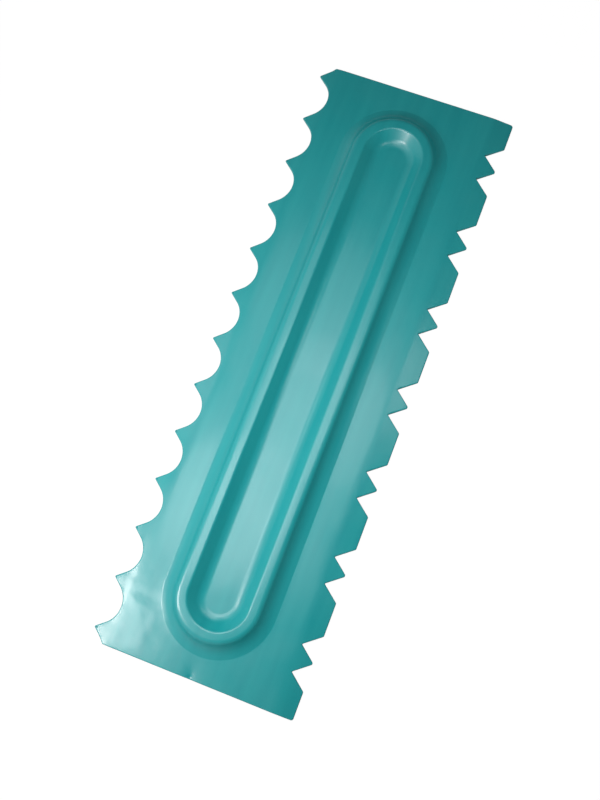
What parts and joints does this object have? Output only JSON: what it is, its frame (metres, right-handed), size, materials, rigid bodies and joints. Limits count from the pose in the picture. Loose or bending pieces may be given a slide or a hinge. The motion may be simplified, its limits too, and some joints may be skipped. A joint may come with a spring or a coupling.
{
  "type": "icing smoother",
  "caption": "Flat plastic comb for smoothing and texturing the icing on a cake, with a scalloped edge, a notched edge, two straight ends and a raised grip rim.",
  "frame": {"origin": "middle of the flat back face, on the surface that the comb lies on", "axes": "+Z out of the front face that carries the grip rim, +Y along the blade away from the end with the gate scar, -X towards the scalloped edge and +X towards the notched edge"},
  "size_m": [0.074, 0.225, 0.0062],
  "materials": {
    "moulded_plastic": "glossy as moulded, with a soft broad sheen, teal right through"
  },
  "bodies": {
    "root": {"icing_smoother": "moulded_plastic"}
  },
  "joints": []
}
